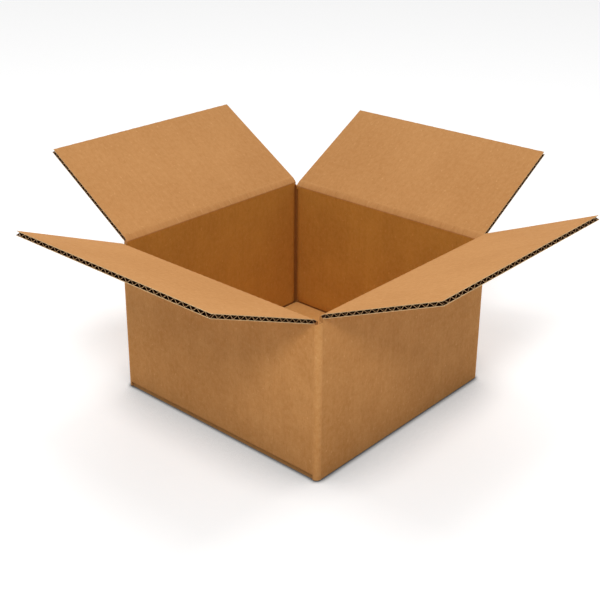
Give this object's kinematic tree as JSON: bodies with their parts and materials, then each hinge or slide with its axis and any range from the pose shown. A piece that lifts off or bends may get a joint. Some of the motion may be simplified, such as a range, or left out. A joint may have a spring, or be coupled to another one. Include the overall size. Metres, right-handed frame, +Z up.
{
  "type": "open cardboard box",
  "caption": "Regular slotted shipping carton of single-wall corrugated board, base shut, top flaps folded open on their creases.",
  "frame": {"origin": "centre of the base, on the surface that the box stands on", "axes": "+Z up; the front wall faces -Y and the right wall faces +X; front and back walls carry the outer pair of flaps"},
  "size_m": [0.4478, 0.4445, 0.2128],
  "materials": {
    "kraft_board": "matt brown kraft liner"
  },
  "bodies": {
    "carton_body": {"carton_body": "kraft_board"},
    "front_flap": {"top_flap_front": "kraft_board"},
    "back_flap": {"top_flap_back": "kraft_board"},
    "left_flap": {"top_flap_left": "kraft_board"},
    "right_flap": {"top_flap_right": "kraft_board"}
  },
  "joints": [
    {"name": "front_flap_hinge", "type": "hinge", "parent": "carton_body", "child": "front_flap", "pos_m": [0, -0.1185, 0.1466], "axis": [1, 0, 0], "range_deg": [-157.1, 104.9]},
    {"name": "back_flap_hinge", "type": "hinge", "parent": "carton_body", "child": "back_flap", "pos_m": [0, 0.1185, 0.1466], "axis": [-1, 0, 0], "range_deg": [-147.7, 114.3]},
    {"name": "left_flap_hinge", "type": "hinge", "parent": "carton_body", "child": "left_flap", "pos_m": [-0.1185, 0, 0.1423], "axis": [0, -1, 0], "range_deg": [-158, 104]},
    {"name": "right_flap_hinge", "type": "hinge", "parent": "carton_body", "child": "right_flap", "pos_m": [0.1185, 0, 0.1423], "axis": [0, 1, 0], "range_deg": [-150.1, 111.9]}
  ]
}
